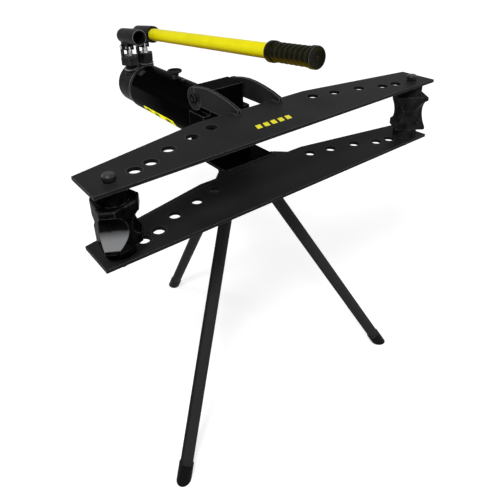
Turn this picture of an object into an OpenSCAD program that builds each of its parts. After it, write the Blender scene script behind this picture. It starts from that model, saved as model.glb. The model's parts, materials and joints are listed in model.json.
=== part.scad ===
// Hydraulic pipe bender on a tripod. Millimetres, +Z up, front of the machine towards -Y.
// Inside the modules Y is measured from the line of the outermost roller pins and Z from the top
// of the lower wing; placed() then puts the origin on the floor under the middle of the machine.

/* [Wings] */
// Length of both wing plates
wing_l = 771; // [740:1:800]
// Thickness of both wing plates
wing_t = 6; // [5:0.5:8]
// Clear height between the wings
wing_gap = 119; // [114:1:124]
// Pin line to the straight front edge
wing_front = 29.5; // [27:0.5:36]
// Pin line to the rear corner at each end
wing_end_back = 49.4; // [44:0.2:56]
// Pin line to the flat rear edge in the middle
wing_mid_back = 102; // [98:0.5:106]
// Half width of the flat rear edge
wing_flat = 131; // [124:1:138]
// Side of the corner that braces the tongue
brace = 21; // [16:1:26]
// Half width of the tongue behind the lower wing
tongue_half = 64; // [58:1:68]
// Width of the brace plate beside the tongue
brace_lip = 7; // [5:0.5:10]
// Front end of the tongue
tongue_front = 112; // [108:1:116]

/* [Roller pins and pivot shoes] */
// Diameter of a roller pin
pin_d = 20; // [18:0.5:22]
// Play around a roller pin, on the radius
pin_play = 0.3; // [0.25:0.05:0.5]
// Diameter of the pin head
pin_head_d = 25; // [24:0.5:30]
// Height of the pin head
pin_head_h = 10; // [8:0.5:14]
// Pin end below the lower wing
pin_tail = 18; // [10:1:24]
// Radius of the round collars of a shoe
shoe_collar_r = 24.5; // [23:0.5:25]
// Height of the lower collar
shoe_low = 20.5; // [17:0.5:22]
// Height of the upper collar
shoe_up = 24.5; // [22:0.5:26]
// Height of the middle of the grooves above the lower wing
groove_z = 57; // [55:0.5:59]
// Bevel round the top and the bottom of the shoe block
shoe_bevel = 1.5; // [0.5:0.5:2]
// Gap above and below the shoe
shoe_gap = 0.3; // [0.2:0.1:0.8]
// Turn of the left shoe
shoe_left_turn = 240; // [230:1:260]
// Turn of the right shoe
shoe_right_turn = 280; // [265:1:295]

/* [Hinge] */
// Thickness of a hinge arm
arm_t = 7; // [5:0.5:8]
// Outer faces of the two arms from the middle
arm_out = 54; // [52:0.5:57]
// Hinge line behind the pin line
hinge_y = 227; // [224:1:229]
// Hinge line above the lower wing
hinge_z = 119.5; // [117:0.5:121]
// Radius of the round arm end
arm_end_r = 24.5; // [22:0.5:26]
// Front end of the arms on the upper wing
arm_front = 80; // [74:1:90]
// Height of the front end of the arms
arm_nose = 10; // [6:0.5:14]
// Height of the arm crest over the upper wing
arm_crest = 26; // [22:0.5:30]
// Depth of the arms below the top of the upper wing
arm_drop = 17.5; // [14:0.5:22]
// Diameter of the hinge bolt shank
hinge_bolt_d = 14; // [12:1:18]
// Diameter of the hinge bolt head
hinge_head_d = 22; // [20:0.5:26]
// Thickness of the hinge bolt head
hinge_head_h = 5; // [4:0.5:7]
// Depth of the hinge bolts in the block
hinge_bite = 18; // [14:1:24]
// Radius of the hinge washers
hinge_washer_r = 17; // [14:0.5:20]

/* [Frame block] */
// Half width of the upper part
block_half = 43; // [41:0.5:44]
// Half width of the lower part
block_wide = 59; // [55:0.5:62]
// Front face behind the pin line
block_front = 188; // [184:0.5:192]
// Rear face behind the pin line
block_rear = 242; // [239:0.5:246]
// Top above the lower wing
block_top = 142.5; // [141:0.5:146]
// Height of the wide lower part
block_step = 91; // [86:0.5:93]
// Height of the ram axis above the lower wing
ram_z = 59.5; // [56:0.5:62]

/* [Ram and cylinder] */
// Radius of the ram
ram_r = 20; // [18:0.5:21]
// Radius of the bore along the ram
ram_bore_r = 15; // [14:0.5:15.5]
// Front face of the ram behind the pin line
ram_front = 152; // [148:1:160]
// Length of the former seat on the ram
seat_l = 24; // [18:1:30]
// Radius of the former seat
seat_r = 15; // [13:0.5:16]
// Radius of the hole for the former's pin
seat_pin_r = 3; // [2:0.5:4]
// Bore radius of the cylinder
bore_r = 27; // [25:0.5:28]
// Wall of the cylinder
bore_wall = 8; // [6:0.5:9]
// Length of the piston
piston_l = 26; // [20:1:32]
// Running clearance of pistons, ram and plungers, on the radius
run_gap = 0.05; // [0.03:0.01:0.09]
// Rear end of the cylinder behind the pin line
bore_rear = 516; // [513:1:519]
// Wire diameter of the return spring
spring_wire = 3; // [2.6:0.1:3.4]
// Mean radius of the return spring
spring_r = 11; // [10.5:0.1:11.8]

/* [Tank] */
// Outer radius of the tank
tank_r = 55; // [53:0.5:57]
// Wall of the tank
tank_wall = 3; // [2:0.5:4]
// Rear rim of the tank behind the pin line
tank_rear = 520; // [517:1:523]
// Length of the register that centres the tank
register_l = 10; // [7:1:12]
// Filler cap behind the pin line
cap_y = 387; // [370:1:400]
// Radius of the filler cap
cap_r = 12.5; // [10:0.5:15]
// Thickness of the filler cap
cap_t = 6; // [5:0.5:8]
// Outer radius of the filler neck
neck_r = 7.5; // [7:0.5:9]
// Height of the filler neck above the tank
neck_h = 9; // [7:0.5:12]
// Vent plug behind the pin line
vent_y = 352; // [345:1:358]

/* [Pump head] */
// Radius of the pump head
head_r = 52; // [50:0.5:53]
// Thickness of the head flange on the tank
head_flange = 7.5; // [6:0.5:10]
// Thickness of the head gasket
gasket_t = 1.5; // [1:0.5:2]
// Rear face of the head behind the pin line
head_rear = 594; // [590:1:600]
// Middle of the pumps behind the pin line
pump_y = 560; // [558:1:563]
// Near pump, sideways
near_x = -27.5; // [-29:0.5:-26]
// Far pump, sideways
far_x = 15.5; // [14.5:0.5:17]
// Seat of the near pump above the lower wing
near_seat = 98; // [96:0.5:99]
// Seat of the far pump above the lower wing
far_seat = 109; // [107:0.5:110]
// Hexagon of the pumps across flats
hex_af = 36; // [34:0.5:38]
// Underside of the hexagons above the lower wing
hex_low = 117.5; // [115:0.5:119]
// Top of the hexagons above the lower wing
hex_top = 139.5; // [138:0.5:141]
// Radius of the near plunger
near_plunger_r = 7; // [6:0.5:8]
// Radius of the far plunger
far_plunger_r = 9; // [8:0.5:9.5]
// Reach of the release knob beside the head
knob_reach = 24; // [20:1:28]
// Radius of the release knob
knob_r = 14; // [11:0.5:16]
// Thickness of the release knob
knob_t = 12; // [8:1:14]
// Diameter of the four tie rods
rod_d = 8; // [7:0.5:10]

/* [Pump levers and handle] */
// Lever pivot behind the pumps
lever_arm = 15; // [14.5:0.1:15.5]
// Lever pivot above the lower wing
fulcrum_z = 160; // [159.5:0.1:161]
// Handle axis above the lever pivot
socket_up = 26.6; // [26:0.1:28]
// Rise of the handle towards the front
handle_rise = 5.2; // [4.5:0.1:6]
// Mouth radius of the sockets
mouth_r = 19.8; // [19:0.1:20.4]
// Rear radius of the sockets
butt_r = 17.2; // [16.5:0.1:18]
// Near socket, mouth in front of the lever pivot
near_socket = 83; // [76:1:90]
// Far socket, mouth in front of the lever pivot
far_socket = 73; // [68:1:80]
// Sockets behind the lever pivot
socket_tail = 7; // [5:0.5:7.5]
// Outer diameter of the handle tube
handle_d = 26.9; // [25:0.1:27.5]
// Wall of the handle tube
handle_wall = 2.6; // [2:0.1:4]
// Play of the tube in its socket, on the radius
handle_play = 0.3; // [0.2:0.05:0.4]
// Front end of the grip from the lever pivot
handle_reach = 624.5; // [560:0.5:640]
// Length of the grip
grip_l = 130; // [110:1:150]
// Radius of the grip between its ribs
grip_r = 16.6; // [16:0.1:17.5]
// Radius of the ribs
rib_r = 17.8; // [17.6:0.1:18.6]
// Number of ribs
ribs = 8; // [5:1:9]
// Radius of the two end collars
collar_r = 19.6; // [18.8:0.1:21]

/* [Tripod] */
// Height of the lower wing above the floor
stand_h = 574.5; // [500:0.5:620]
// Leg axes meet this far behind the pin line
apex_y = 155.5; // [150:0.5:160]
// Leg axes meet this far above the lower wing
apex_z = 25.9; // [22:0.1:28]
// Front feet, out from under the meeting point
front_reach = 362.6; // [340:0.2:380]
// Rear foot, out from under the meeting point
rear_reach = 351.1; // [330:0.1:370]
// Turn of the front legs from the rear one
leg_turn = 122.2; // [116:0.2:126]
// Outer diameter of a leg tube
leg_d = 26.9; // [25:0.1:28]
// Wall of a leg tube
leg_wall = 2.6; // [2:0.1:4]
// Wall of a leg socket
socket_wall = 4.5; // [3.5:0.5:5]
// Leg sockets end this far along the leg axis
socket_end = 92; // [85:1:105]
// Leg tubes start this far along the leg axis
leg_start = 52; // [50:1:56]
// Wall of a rubber foot
foot_wall = 1.9; // [1.5:0.1:3]
// Length of a rubber foot
foot_l = 36; // [28:1:44]
// Rubber under the end of a leg tube
foot_sole = 12; // [11:0.5:16]

/* [Hidden] */
$fn = 96;
eps = 0.01;
small_fn = 48;

// Hole stations of one wing half, the pin hole first: in from the wing's end, and behind the pin line
station_in = [37.5, 81.5, 113.5, 158.5, 214.5, 262.5];
station_x = [for (d = station_in) wing_l / 2 - d];
station_y = [0, 6.5, 14.5, 38, 53.5, 66];
// Eight sides of each shoe block, as turn and distance from its axis; every other side is grooved
left_sides = [[0, 38.4], [45, 31.5], [90, 37.5], [135, 38], [180, 38], [225, 36], [270, 34.5], [291, 29.5]];
right_sides = [[0, 41], [45, 33.4], [90, 37], [135, 36], [180, 33], [225, 29], [270, 38], [315, 25.5]];
// Pipe diameters of the four grooves of each shoe, and their floors from the shoe axis
left_groove_d = [66, 49, 43, 22];
left_floor = [24, 26, 24, 29.8];
right_groove_d = [66, 43, 49, 61];
right_floor = [23.4, 26, 19, 29];

wing_top = wing_gap + wing_t;
shoe_x = station_x[0];
shoe_y = station_y[0];
hole_r = pin_d / 2 + pin_play;
shoe_crown = wing_gap - shoe_up;
arm_in = arm_out - arm_t;
crest_z = wing_top + arm_crest;
fulcrum_y = pump_y + lever_arm;
head_front = tank_rear + gasket_t;
register_r = tank_r - tank_wall - 0.2;
plug_depth = 10;
gland_l = 20;
gland_r = 30;
gland_lip = 5;
seal_l = 7;
web_l = 5;
cyl_out = bore_r + bore_wall;
cyl_front = block_front + gland_l + seal_l + web_l;
piston_rear = bore_rear - 12;
piston_front = piston_rear - piston_l;
valve_r = 6;
valve_ball_r = 5;
ball_z = ram_z + 12;
strap_t = 4;
yoke_half = 9;
strap_in = yoke_half + 0.2;
strap_half = 6.5;
strap_out = strap_in + strap_t;
pin_small = 4;
drive_pin_r = 3;
tongue_t = 8;
tongue_w = 10;
tongue_low = hex_top + 1.7;
link_z = hex_top - 9;
ear_gap = tongue_t / 2 + 0.4;
seal_w = 1.5;
seal_h = 6;
near_boss_r = 16.5;
far_boss_r = 19.8;
rod_turns = [0, 99, 180, 262];
rod_ring = (bore_r + bore_wall + register_r) / 2;
rod_head_r = rod_d / 2 + 2.5;
rod_head_h = rod_d;
rod_bite = 10;
release_r = 6;
release_y = pump_y + 17;
release_z = ram_z - 14;
relief_r = 7;
relief_l = 15.5;
slot_w = -1.65;
slot_r = drive_pin_r + 1;
slot_near = lever_arm - 0.2;
slot_far = lever_arm + 4.2;
tube_start = 8;
leg_end_fit = 0.05;
front_tilt = atan(front_reach / (apex_z + stand_h));
rear_tilt = atan(rear_reach / (apex_z + stand_h));
foot_r = leg_d / 2 + foot_wall;
hub_r = 46;
hub_t = 8;

// The ellipse of a front foot on the floor gives the foremost point, the pump head the rearmost
foot_long = foot_r / cos(front_tilt) * cos(leg_turn);
foot_wide = foot_r * sin(leg_turn);
front_y = apex_y + front_reach * cos(leg_turn) - sqrt(foot_long * foot_long + foot_wide * foot_wide);
mid_y = (front_y + head_rear) / 2;

module placed() {
    translate([0, -mid_y, stand_h]) children();
}

// Round bar along Y at height z, from y0 to y1
module bar_y(y0, y1, r, z = ram_z, x = 0) {
    translate([x, y0, z]) rotate([-90, 0, 0]) cylinder(r = r, h = y1 - y0);
}

// Round bar along X from x0 to x1
module bar_x(x0, x1, r, y, z) {
    translate([x0, y, z]) rotate([0, 90, 0]) cylinder(r = r, h = x1 - x0, $fn = small_fn);
}

module both_sides() {
    children();
    mirror([1, 0, 0]) children();
}

function coil_centre(t, r, pitch) = [r * cos(360 * t), r * sin(360 * t), pitch * t];
function coil_ring(t, r, wire, pitch, sides) =
    let (rise = atan(pitch / (2 * PI * r)))
    [for (k = [0:sides - 1])
        let (a = 360 * k / sides)
        coil_centre(t, r, pitch)
            + wire / 2 * cos(a) * [cos(360 * t), sin(360 * t), 0]
            + wire / 2 * sin(a) * [sin(rise) * sin(360 * t), -sin(rise) * cos(360 * t), cos(rise)]];

// One unbroken wire wound from z = 0 upwards; prints the least gap between neighbouring turns
module coil(name, r, wire, length, turns, steps = 16, sides = 6) {
    pitch = length / turns;
    rings = turns * steps;
    gap = min([for (j = [0:rings - steps])
        norm(coil_centre((j + steps) / steps, r, pitch) - coil_centre(j / steps, r, pitch)) - wire]);
    echo(str(name, " least gap between turns, mm"), gap);
    points = [for (j = [0:rings]) each coil_ring(j / steps, r, wire, pitch, sides)];
    side_faces = [for (j = [0:rings - 1], k = [0:sides - 1])
        let (a = j * sides + k, b = j * sides + (k + 1) % sides)
        each [[a, a + sides, b], [b, a + sides, b + sides]]];
    start_cap = [for (k = [1:sides - 2]) [0, k, k + 1]];
    end_cap = [for (k = [1:sides - 2]) [rings * sides, rings * sides + k + 1, rings * sides + k]];
    polyhedron(points, concat(side_faces, start_cap, end_cap));
}

module wing_outline() {
    half = wing_l / 2;
    polygon([[-half, -wing_front], [half, -wing_front], [half, wing_end_back],
        [wing_flat, wing_mid_back], [-wing_flat, wing_mid_back], [-half, wing_end_back]]);
}

module station_holes() {
    both_sides()
        for (i = [0:len(station_x) - 1])
            translate([station_x[i], station_y[i]]) circle(hole_r);
}

module lower_wing() {
    edge = tongue_half + brace_lip;
    color("#242628") placed() translate([0, 0, -wing_t]) linear_extrude(wing_t) difference() {
        union() {
            wing_outline();
            both_sides() polygon([[0, wing_mid_back - 1], [edge + brace, wing_mid_back - 1],
                [edge + brace, wing_mid_back], [edge, wing_mid_back + brace], [0, wing_mid_back + brace]]);
        }
        station_holes();
        translate([-tongue_half, tongue_front]) square([2 * tongue_half, brace + wing_mid_back]);
    }
}

module base_tongue() {
    color("#242628") placed() translate([-tongue_half, tongue_front, -wing_t])
        cube([2 * tongue_half, block_rear - tongue_front, wing_t]);
}

module upper_wing() {
    color("#242628") placed() translate([0, 0, wing_gap]) linear_extrude(wing_t) difference() {
        wing_outline();
        station_holes();
    }
}

module arm_outline() {
    low = wing_top - arm_drop;
    behind = wing_mid_back;
    end_top = [hinge_y - arm_end_r * sin(4), hinge_z + arm_end_r * cos(4)];
    difference() {
        union() {
            polygon([[arm_front, wing_top], [arm_front, wing_top + arm_nose],
                [arm_front + 24, wing_top + arm_nose + 7], [arm_front + 50, crest_z - 4],
                [arm_front + 75, crest_z - 0.8], [arm_front + 100, crest_z],
                [arm_front + 124, crest_z - 2.6], end_top,
                [hinge_y, hinge_z], [hinge_y - arm_end_r, hinge_z - 13],
                [hinge_y - arm_end_r, low], [behind, low], [behind, wing_top]]);
            translate([hinge_y, hinge_z]) circle(arm_end_r);
        }
        translate([hinge_y, hinge_z]) circle(hinge_bolt_d / 2 + 0.15, $fn = small_fn);
    }
}

module hinge_arm() {
    placed() translate([arm_in, 0, 0]) rotate([90, 0, 90]) linear_extrude(arm_t) arm_outline();
}

module hinge_arm_right() {
    color("#242628") hinge_arm();
}

module hinge_arm_left() {
    color("#242628") mirror([1, 0, 0]) hinge_arm();
}

// Both hinge bolts, screwed into the sides of the block
module hinge_bolts() {
    color("#35373a") placed() both_sides() {
        difference() {
            union() {
                bar_x(block_half - hinge_bite, arm_out, hinge_bolt_d / 2, hinge_y, hinge_z);
                bar_x(arm_out, arm_out + hinge_head_h, hinge_head_d / 2, hinge_y, hinge_z);
            }
            translate([arm_out + hinge_head_h - 3, hinge_y, hinge_z]) rotate([0, 90, 0])
                cylinder(r = 4.6, h = 3 + eps, $fn = 6);
        }
    }
}

module hinge_washers() {
    color("#8d9094") placed() both_sides() difference() {
        bar_x(block_half, arm_in, hinge_washer_r, hinge_y, hinge_z);
        bar_x(block_half - 1, arm_in + 1, hinge_bolt_d / 2 + 0.15, hinge_y, hinge_z);
    }
}

module frame_block() {
    color("#222426") placed() difference() {
        union() {
            translate([-block_wide, block_front, 0])
                cube([2 * block_wide, block_rear - block_front, block_step]);
            translate([-block_half, block_front, 0])
                cube([2 * block_half, block_rear - block_front, block_top]);
            bar_y(block_rear - 1, block_rear + register_l, register_r);
        }
        bar_y(block_front - 1, block_front + gland_l + seal_l, gland_r);
        bar_y(block_front, block_rear, ram_r + 3);
        bar_y(cyl_front, block_rear + register_l + 1, cyl_out + run_gap);
        rod_places() translate([0, 0, block_rear - rod_bite])
            cylinder(r = rod_d / 2, h = rod_bite + register_l + 1, $fn = small_fn);
        both_sides() bar_x(block_half - hinge_bite - 0.5, block_half + 1, hinge_bolt_d / 2, hinge_y, hinge_z);
    }
}

// Corner between two sides of a shoe block, each given by its turn and distance and moved in by a margin
function block_corner(p, q, margin) =
    [(p[1] - margin) * sin(q[0]) - (q[1] - margin) * sin(p[0]),
        (q[1] - margin) * cos(p[0]) - (p[1] - margin) * cos(q[0])] / sin(q[0] - p[0]);

// Cast block with a pipe groove on every other side, and a round collar above and below
module shoe_solid(sides, groove_d, floor_at) {
    difference() {
        union() {
            translate([0, 0, shoe_gap]) cylinder(r = shoe_collar_r, h = wing_gap - 2 * shoe_gap);
            hull() for (margin = [0, shoe_bevel])
                translate([0, 0, shoe_low + shoe_bevel - margin])
                    linear_extrude(shoe_crown - shoe_low - 2 * (shoe_bevel - margin))
                        polygon([for (i = [0:7]) block_corner(sides[i], sides[(i + 1) % 8], margin)]);
        }
        for (i = [0:3])
            rotate([0, 0, 90 * i]) translate([floor_at[i] + groove_d[i] / 2, 0, groove_z])
                rotate([90, 0, 0]) cylinder(r = groove_d[i] / 2, h = 4 * shoe_collar_r, center = true);
        translate([0, 0, -1]) cylinder(r = hole_r, h = wing_gap + 2);
    }
}

module pivot_shoe_left() {
    color("#1b1c1e") placed() translate([-shoe_x, shoe_y, 0]) rotate([0, 0, shoe_left_turn])
        shoe_solid(left_sides, left_groove_d, left_floor);
}

module pivot_shoe_right() {
    color("#1b1c1e") placed() translate([shoe_x, shoe_y, 0]) rotate([0, 0, shoe_right_turn])
        shoe_solid(right_sides, right_groove_d, right_floor);
}

module roller_pin(side) {
    low = -wing_t - pin_tail;
    r = pin_d / 2;
    hr = pin_head_d / 2;
    placed() translate([side * shoe_x, shoe_y, 0]) rotate_extrude()
        polygon([[0, low], [r - 2, low], [r, low + 2], [r, wing_top], [hr, wing_top],
            [hr, wing_top + pin_head_h - 3], [hr - 3, wing_top + pin_head_h], [0, wing_top + pin_head_h]]);
}

module roller_pin_left() {
    color("#2c2e31") roller_pin(-1);
}

module roller_pin_right() {
    color("#2c2e31") roller_pin(1);
}

module gland_nut() {
    color("#5b5e63") placed() difference() {
        union() {
            bar_y(block_front, block_front + gland_l, gland_r);
            bar_y(block_front - gland_lip, block_front, gland_r + 4);
        }
        bar_y(block_front - gland_lip - 1, block_front + gland_l + 1, ram_r + run_gap);
        bar_y(block_front - gland_lip - 1, block_front, ram_r + 4);
        for (a = [0:90:270])
            translate([0, block_front - gland_lip, ram_z]) rotate([0, a + 45, 0])
                translate([gland_r + 1, -1, -3]) cube([6, gland_lip - 1, 6]);
    }
}

module wiper_ring() {
    color("#202020") placed() difference() {
        bar_y(block_front - 4, block_front, ram_r + 4);
        bar_y(block_front - 5, block_front + 1, ram_r + run_gap);
    }
}

module ram_seal() {
    color("#3a2a20") placed() difference() {
        bar_y(block_front + gland_l, block_front + gland_l + seal_l, gland_r);
        bar_y(block_front + gland_l - 1, block_front + gland_l + seal_l + 1, ram_r + run_gap);
    }
}

// Hollow ram with the former seat at its front
module ram() {
    nose = ram_front + seat_l;
    color("#b9bcc0") placed() difference() {
        union() {
            bar_y(nose, piston_front, ram_r);
            bar_y(ram_front, nose, seat_r);
        }
        bar_y(nose + 14, piston_front + 1, ram_bore_r);
        translate([0, nose - seat_pin_r - 2, ram_z - seat_r - 1])
            cylinder(r = seat_pin_r, h = 2 * seat_r + 2, $fn = small_fn);
    }
}

module ram_piston() {
    groove = piston_front + piston_l / 2;
    color("#9a9da1") placed() difference() {
        bar_y(piston_front, piston_rear, bore_r - run_gap);
        bar_y(piston_front - 1, piston_rear + 1, ram_bore_r);
        difference() {
            bar_y(groove - 3, groove + 3, bore_r + 1);
            bar_y(groove - 4, groove + 4, bore_r - 4);
        }
    }
}

module piston_ring() {
    groove = piston_front + piston_l / 2;
    color("#3a2a20") placed() difference() {
        bar_y(groove - 3, groove + 3, bore_r - run_gap);
        bar_y(groove - 4, groove + 4, bore_r - 4);
    }
}

module cylinder_tube() {
    color("#7d8085") placed() difference() {
        bar_y(cyl_front, bore_rear, cyl_out);
        bar_y(cyl_front - 1, bore_rear + 1, bore_r);
    }
}

// The spring pulls the ram back; it hangs between the ram and the anchor on the pump head
spring_front = ram_front + seat_l + 14 + 1.9;
spring_turns = 24;
module return_spring() {
    length = bore_rear - 30 - spring_front;
    color("#a7abb0") placed() translate([0, spring_front, ram_z]) rotate([-90, 0, 0])
        coil("return spring", spring_r, spring_wire, length, spring_turns, 14, 6);
}

module spring_anchor() {
    color("#7d8085") placed() {
        bar_y(bore_rear - 26.5, bore_rear - 24.5, spring_r + 2);
        bar_y(bore_rear - 24.5, bore_rear, 5);
    }
}

module oil_tank() {
    color("#1e2022") placed() difference() {
        bar_y(block_rear, tank_rear, tank_r);
        bar_y(block_rear - 1, tank_rear + 1, tank_r - tank_wall);
        translate([0, cap_y, ram_z]) cylinder(r = neck_r, h = tank_r + 1, $fn = small_fn);
        translate([0, vent_y, ram_z]) cylinder(r = 4, h = tank_r + 1, $fn = small_fn);
    }
}

module filler_neck() {
    foot = ram_z + tank_r - tank_wall - 2;
    top = ram_z + tank_r + neck_h;
    color("#232527") placed() difference() {
        translate([0, cap_y, foot]) cylinder(r = neck_r, h = top - foot, $fn = small_fn);
        translate([0, cap_y, foot - 1]) cylinder(r = neck_r - 2, h = top - foot + 2, $fn = small_fn);
    }
}

module filler_cap() {
    top = ram_z + tank_r + neck_h;
    color("#2b2d30") placed() difference() {
        union() {
            translate([0, cap_y, top]) cylinder(r = cap_r, h = cap_t, $fn = small_fn);
            translate([0, cap_y, top - plug_depth])
                cylinder(r = neck_r - 2 - run_gap, h = plug_depth + 1, $fn = small_fn);
        }
        for (a = [0:20:340])
            translate([0, cap_y, top - 1]) rotate([0, 0, a]) translate([cap_r + 0.6, 0, 0])
                cylinder(r = 1.3, h = cap_t + 2, $fn = 16);
    }
}

module vent_plug() {
    foot = ram_z + tank_r - tank_wall;
    color("#2b2d30") placed() {
        translate([0, vent_y, foot]) cylinder(r = 4, h = tank_wall + 2, $fn = small_fn);
        translate([0, vent_y, foot + tank_wall + 0.2]) cylinder(r = 6, h = 5, $fn = 6);
    }
}

module head_gasket() {
    color("#4a3b2c") placed() difference() {
        bar_y(tank_rear, head_front, tank_r - 0.5);
        bar_y(tank_rear - 1, head_front + 1, register_r + 0.1);
    }
}

module rod_places() {
    for (a = rod_turns)
        translate([rod_ring * cos(a), 0, ram_z + rod_ring * sin(a)]) rotate([-90, 0, 0]) children();
}

// Casting with the pump seats, valve pockets, oil ways and the release valve bore
module pump_head() {
    color("#2a2c2e") placed() difference() {
        union() {
            bar_y(head_front, head_rear, head_r);
            bar_y(head_front, head_front + head_flange, tank_r);
            bar_y(head_front - register_l, head_front + 1, register_r);
            translate([near_x, pump_y, ram_z]) cylinder(r = near_boss_r, h = near_seat - ram_z, $fn = small_fn);
            translate([far_x, pump_y, ram_z]) cylinder(r = far_boss_r, h = far_seat - ram_z, $fn = small_fn);
        }
        bar_y(head_front - register_l - 1, bore_rear, cyl_out + run_gap);
        translate([near_x, pump_y, near_seat]) cylinder(r = near_boss_r + 1, h = 30, $fn = small_fn);
        translate([far_x, pump_y, far_seat]) cylinder(r = far_boss_r + 1, h = 30, $fn = small_fn);
        for (p = [[near_x, near_seat, near_plunger_r], [far_x, far_seat, far_plunger_r]]) {
            translate([p[0], pump_y, ball_z + valve_ball_r + 1])
                cylinder(r = p[2] + run_gap, h = p[1], $fn = small_fn);
            translate([p[0], pump_y, ball_z - 1]) cylinder(r = 3, h = 20, $fn = small_fn);
            translate([p[0], pump_y, ram_z - head_r - 1])
                cylinder(r = valve_r, h = head_r + 1 + ball_z - ram_z + valve_ball_r, $fn = small_fn);
            bar_y(bore_rear - 1, pump_y, 2.5, ram_z + 2, sign(p[0]) * min(abs(p[0]), bore_r - 4));
        }
        bar_x(0, tank_r + 1, release_r, release_y, release_z);
        bar_y(bore_rear - 1, release_y, 2.5, release_z, 2);
        bar_x(-tank_r - 1, relief_l + 0.5 - head_r, relief_r, release_y, release_z);
        rod_places() {
            cylinder(r = rod_d / 2 + 0.2, h = head_rear + 1, $fn = small_fn);
            translate([0, 0, head_rear - rod_head_h])
                cylinder(r = rod_head_r + 0.3, h = rod_head_h + 1, $fn = small_fn);
        }
    }
}

// Four long screws through the tank clamp the pump head to the frame block
module tie_rods() {
    color("#35373a") placed() rod_places() {
        translate([0, 0, block_rear - rod_bite])
            cylinder(r = rod_d / 2, h = head_rear - rod_head_h - block_rear + rod_bite, $fn = small_fn);
        translate([0, 0, head_rear - rod_head_h]) difference() {
            cylinder(r = rod_head_r, h = rod_head_h, $fn = small_fn);
            translate([0, 0, rod_head_h - 4]) cylinder(r = 3.4, h = 5, $fn = 6);
        }
    }
}

module check_balls() {
    color("#c9ccd0") placed() for (x = [near_x, far_x])
        translate([x, pump_y, ball_z - 0.5]) sphere(r = valve_ball_r, $fn = small_fn);
}

module valve_springs() {
    top = ball_z - 0.5 - valve_ball_r;
    color("#a7abb0") placed() for (x = [near_x, far_x])
        translate([x, pump_y, ram_z - head_r + 24])
            coil("valve spring", 3.6, 1.2, top - (ram_z - head_r + 24) - 0.2, 7, 8, 4);
}

module valve_plugs() {
    top = ram_z - head_r + 23.8;
    color("#35373a") placed() for (x = [near_x, far_x]) {
        low = ram_z - sqrt(head_r * head_r - x * x) + 4;
        translate([x, pump_y, low]) difference() {
            cylinder(r = valve_r, h = top - low, $fn = small_fn);
            translate([0, 0, -1]) cylinder(r = 2.9, h = 5, $fn = 6);
        }
    }
}

// Release valve: a spindle with a round knob, on the right of the pump head
module release_valve() {
    color("#35373a") placed() {
        bar_x(release_r, head_r + knob_reach, release_r - run_gap, release_y, release_z);
        bar_x(head_r + knob_reach - knob_t, head_r + knob_reach, knob_r, release_y, release_z);
    }
}

module relief_plug() {
    color("#35373a") placed() difference() {
        bar_x(-head_r + 2, relief_l - head_r, relief_r, release_y, release_z);
        translate([-head_r + 1, release_y, release_z]) rotate([0, 90, 0]) cylinder(r = 3.4, h = 6, $fn = 6);
    }
}

// Hexagonal pump body, with a lug behind it that carries the links
module pump_body(x, seat, plunger_r, foot_radius, neck_radius) {
    placed() translate([x, pump_y, 0]) difference() {
        union() {
            translate([0, 0, seat]) cylinder(r = foot_radius, h = 6, $fn = small_fn);
            translate([0, 0, seat]) cylinder(r = neck_radius, h = hex_low - seat + 1, $fn = small_fn);
            difference() {
                translate([0, 0, hex_low]) cylinder(r = hex_af / sqrt(3), h = hex_top - hex_low, $fn = 6);
                both_sides() translate([yoke_half, lever_arm - strap_half - 0.5, link_z - strap_half - 0.5])
                    cube([20, 30, 40]);
            }
            translate([-yoke_half, lever_arm - 5, link_z - 7]) cube([2 * yoke_half, 12, hex_top - link_z + 7]);
        }
        translate([0, 0, seat - 1]) cylinder(r = plunger_r + run_gap, h = 60, $fn = small_fn);
        translate([0, 0, hex_top - 3 - seal_h]) cylinder(r = plunger_r + seal_w, h = seal_h, $fn = small_fn);
        bar_x(-30, 30, pin_small, lever_arm, link_z);
    }
}

module near_pump_body() {
    color("#3d3f42") pump_body(near_x, near_seat, near_plunger_r, 15.6, 13);
}

module far_pump_body() {
    color("#303235") pump_body(far_x, far_seat, far_plunger_r, 19.2, 18);
}

module plunger_seals() {
    color("#3a2a20") placed() for (p = [[near_x, near_plunger_r], [far_x, far_plunger_r]])
        translate([p[0], pump_y, hex_top - 3 - seal_h]) difference() {
            cylinder(r = p[1] + seal_w, h = seal_h, $fn = small_fn);
            translate([0, 0, -1]) cylinder(r = p[1] + run_gap, h = seal_h + 2, $fn = small_fn);
        }
}

// Plunger with a flat tongue for the drive pin
module plunger(x, r) {
    low = ball_z + valve_ball_r + 3;
    placed() translate([x, pump_y, 0]) difference() {
        union() {
            translate([0, 0, low]) cylinder(r = r, h = tongue_low - low, $fn = small_fn);
            translate([-tongue_t / 2, -tongue_w / 2, tongue_low - 1])
                cube([tongue_t, tongue_w, fulcrum_z - tongue_low + 1]);
            bar_x(-tongue_t / 2, tongue_t / 2, tongue_w / 2, 0, fulcrum_z);
        }
        bar_x(-tongue_t, tongue_t, drive_pin_r, 0, fulcrum_z);
    }
}

module near_plunger() {
    color("#d7dade") plunger(near_x, near_plunger_r);
}

module far_plunger() {
    color("#d7dade") plunger(far_x, far_plunger_r);
}

module drive_pin(x) {
    placed() bar_x(x - yoke_half + 0.5, x + yoke_half - 0.5, drive_pin_r, pump_y, fulcrum_z);
}

module near_plunger_pin() {
    color("#8d9094") drive_pin(near_x);
}

module far_plunger_pin() {
    color("#8d9094") drive_pin(far_x);
}

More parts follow.
